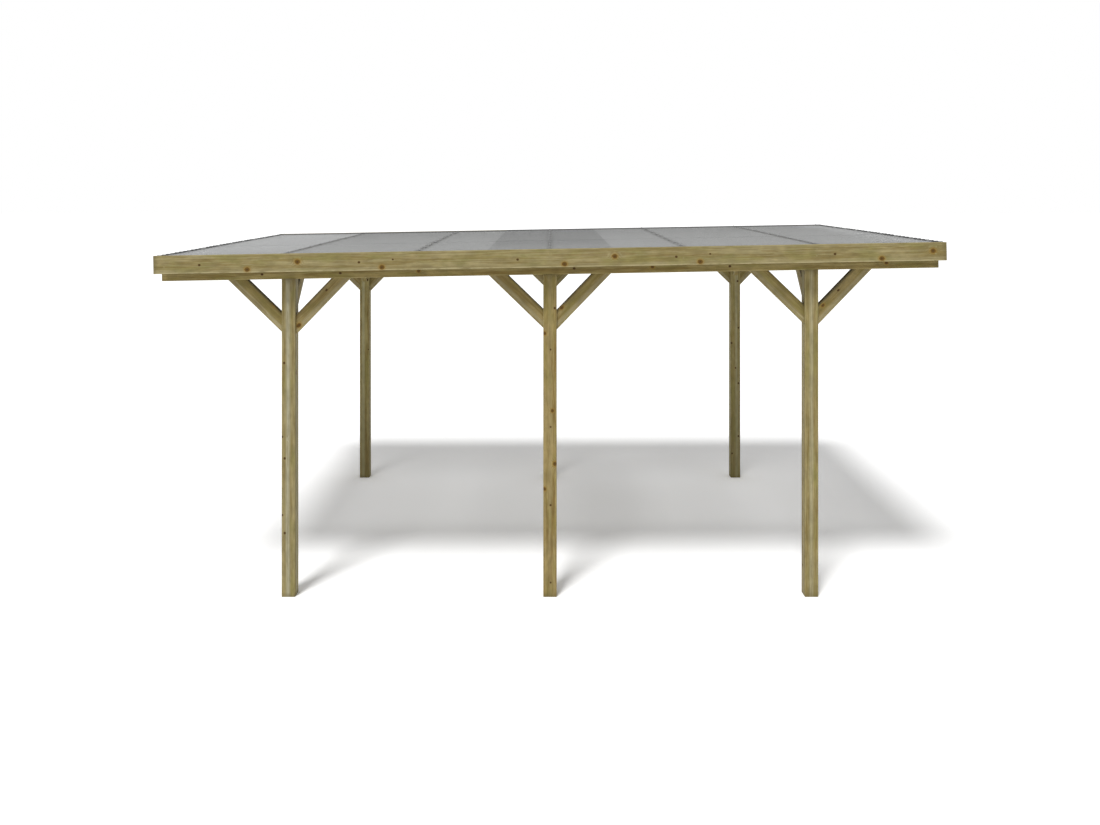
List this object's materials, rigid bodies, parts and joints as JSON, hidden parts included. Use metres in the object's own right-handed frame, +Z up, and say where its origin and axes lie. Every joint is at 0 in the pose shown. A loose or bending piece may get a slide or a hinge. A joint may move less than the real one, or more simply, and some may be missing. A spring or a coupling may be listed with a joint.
{
  "type": "timber carport",
  "caption": "Open timber carport with square posts, knee braces, fascia boards and a low-pitched translucent corrugated roof.",
  "frame": {"origin": "centre of the footprint on the ground", "axes": "+X along the roof towards its high end, +Y from the front to the rear, +Z up"},
  "size_m": [5.1914, 3, 2.3774],
  "materials": {
    "post_timber": "planed, pressure treated, olive brown",
    "purlin_timber": "planed, pressure treated, olive brown",
    "rafter_timber": "planed, pressure treated, olive brown",
    "brace_timber": "planed, pressure treated, olive brown",
    "fascia_timber": "planed, pressure treated, olive brown",
    "roof_sheet": "grey translucent corrugated plastic"
  },
  "bodies": {
    "root": {"front_left_post": "post_timber", "front_middle_post": "post_timber", "front_right_post": "post_timber", "rear_left_post": "post_timber", "rear_middle_post": "post_timber", "rear_right_post": "post_timber", "front_purlin": "purlin_timber", "rear_purlin": "purlin_timber", "left_end_rafter": "rafter_timber", "left_post_rafter": "rafter_timber", "left_bay_rafter": "rafter_timber", "middle_rafter": "rafter_timber", "right_bay_rafter": "rafter_timber", "right_post_rafter": "rafter_timber", "right_end_rafter": "rafter_timber", "front_left_post_left_brace": "brace_timber", "front_left_post_right_brace": "brace_timber", "front_middle_post_left_brace": "brace_timber", "front_middle_post_right_brace": "brace_timber", "front_right_post_left_brace": "brace_timber", "front_right_post_right_brace": "brace_timber", "rear_left_post_left_brace": "brace_timber", "rear_left_post_right_brace": "brace_timber", "rear_middle_post_left_brace": "brace_timber", "rear_middle_post_right_brace": "brace_timber", "rear_right_post_left_brace": "brace_timber", "rear_right_post_right_brace": "brace_timber", "front_left_post_cross_brace": "brace_timber", "front_middle_post_cross_brace": "brace_timber", "front_right_post_cross_brace": "brace_timber", "rear_left_post_cross_brace": "brace_timber", "rear_middle_post_cross_brace": "brace_timber", "rear_right_post_cross_brace": "brace_timber", "front_fascia": "fascia_timber", "rear_fascia": "fascia_timber", "left_end_fascia": "fascia_timber", "right_end_fascia": "fascia_timber", "low_roof_sheet_1": "roof_sheet", "low_roof_sheet_2": "roof_sheet", "low_roof_sheet_3": "roof_sheet", "high_roof_sheet_1": "roof_sheet", "high_roof_sheet_2": "roof_sheet", "high_roof_sheet_3": "roof_sheet"}
  },
  "joints": []
}
